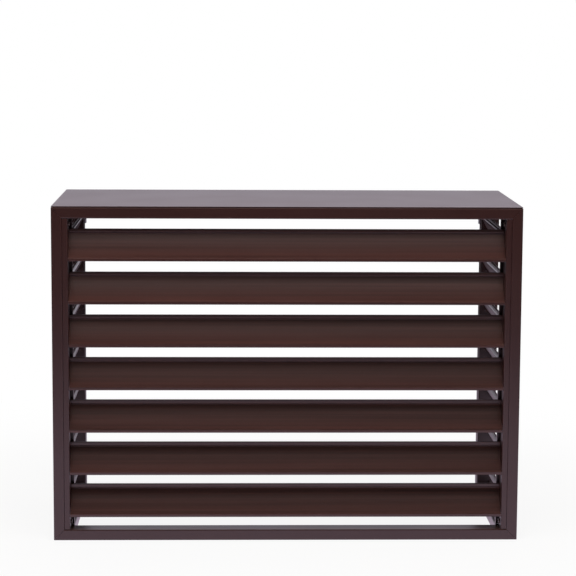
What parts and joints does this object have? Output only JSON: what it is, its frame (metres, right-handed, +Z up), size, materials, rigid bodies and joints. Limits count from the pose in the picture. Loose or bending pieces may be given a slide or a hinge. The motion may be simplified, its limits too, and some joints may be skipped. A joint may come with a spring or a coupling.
{
  "type": "air conditioner screen",
  "caption": "Free-standing louvred metal screen with a flat lid that hides an outdoor air conditioner and lets its air through at the front and sides.",
  "frame": {"origin": "on the ground at the middle of the footprint", "axes": "+X to the right seen from the front, +Y to the open back, +Z up"},
  "size_m": [0.95, 0.4, 0.686],
  "materials": {
    "brown_lid": "satin chocolate brown powder coat",
    "brown_frame": "satin chocolate brown powder coat",
    "brown_blade": "satin chocolate brown powder coat",
    "painted_steel": "steel bolt with a brown painted head",
    "mill_aluminium": "mill finish",
    "black_nylon": "moulded"
  },
  "bodies": {
    "root": {"front_blade_1": "brown_blade", "front_blade_2": "brown_blade", "front_blade_3": "brown_blade", "front_blade_4": "brown_blade", "front_blade_5": "brown_blade", "front_blade_6": "brown_blade", "front_blade_7": "brown_blade", "front_blade_channel_left": "brown_frame", "front_blade_channel_right": "brown_frame", "front_bottom_rail": "brown_frame", "front_channel_bolt_left_bottom": "painted_steel", "front_channel_bolt_left_top": "painted_steel", "front_channel_bolt_right_bottom": "painted_steel", "front_channel_bolt_right_top": "painted_steel", "front_corner_bracket_bottom_left": "mill_aluminium", "front_corner_bracket_bottom_right": "mill_aluminium", "front_corner_bracket_top_left": "mill_aluminium", "front_corner_bracket_top_right": "mill_aluminium", "front_post_left": "brown_frame", "front_post_right": "brown_frame", "front_top_rail": "brown_frame", "rear_foot_plug_left": "black_nylon", "rear_foot_plug_right": "black_nylon", "rear_post_left": "brown_frame", "rear_post_right": "brown_frame", "rear_rail_bracket_left": "mill_aluminium", "rear_rail_bracket_right": "mill_aluminium", "rear_top_rail": "brown_frame", "side_blade_channel_front_left": "brown_frame", "side_blade_channel_front_right": "brown_frame", "side_blade_channel_rear_left": "brown_frame", "side_blade_channel_rear_right": "brown_frame", "side_blade_left_1": "brown_blade", "side_blade_left_2": "brown_blade", "side_blade_left_3": "brown_blade", "side_blade_left_4": "brown_blade", "side_blade_left_5": "brown_blade", "side_blade_left_6": "brown_blade", "side_blade_left_7": "brown_blade", "side_blade_right_1": "brown_blade", "side_blade_right_2": "brown_blade", "side_blade_right_3": "brown_blade", "side_blade_right_4": "brown_blade", "side_blade_right_5": "brown_blade", "side_blade_right_6": "brown_blade", "side_blade_right_7": "brown_blade", "side_bottom_rail_left": "brown_frame", "side_bottom_rail_right": "brown_frame", "side_channel_bolt_left_front_bottom": "painted_steel", "side_channel_bolt_left_front_top": "painted_steel", "side_channel_bolt_left_rear_bottom": "painted_steel", "side_channel_bolt_left_rear_top": "painted_steel", "side_channel_bolt_right_front_bottom": "painted_steel", "side_channel_bolt_right_front_top": "painted_steel", "side_channel_bolt_right_rear_bottom": "painted_steel", "side_channel_bolt_right_rear_top": "painted_steel", "side_top_rail_left": "brown_frame", "side_top_rail_right": "brown_frame", "top_panel": "brown_lid", "top_panel_rib": "mill_aluminium"}
  },
  "joints": []
}
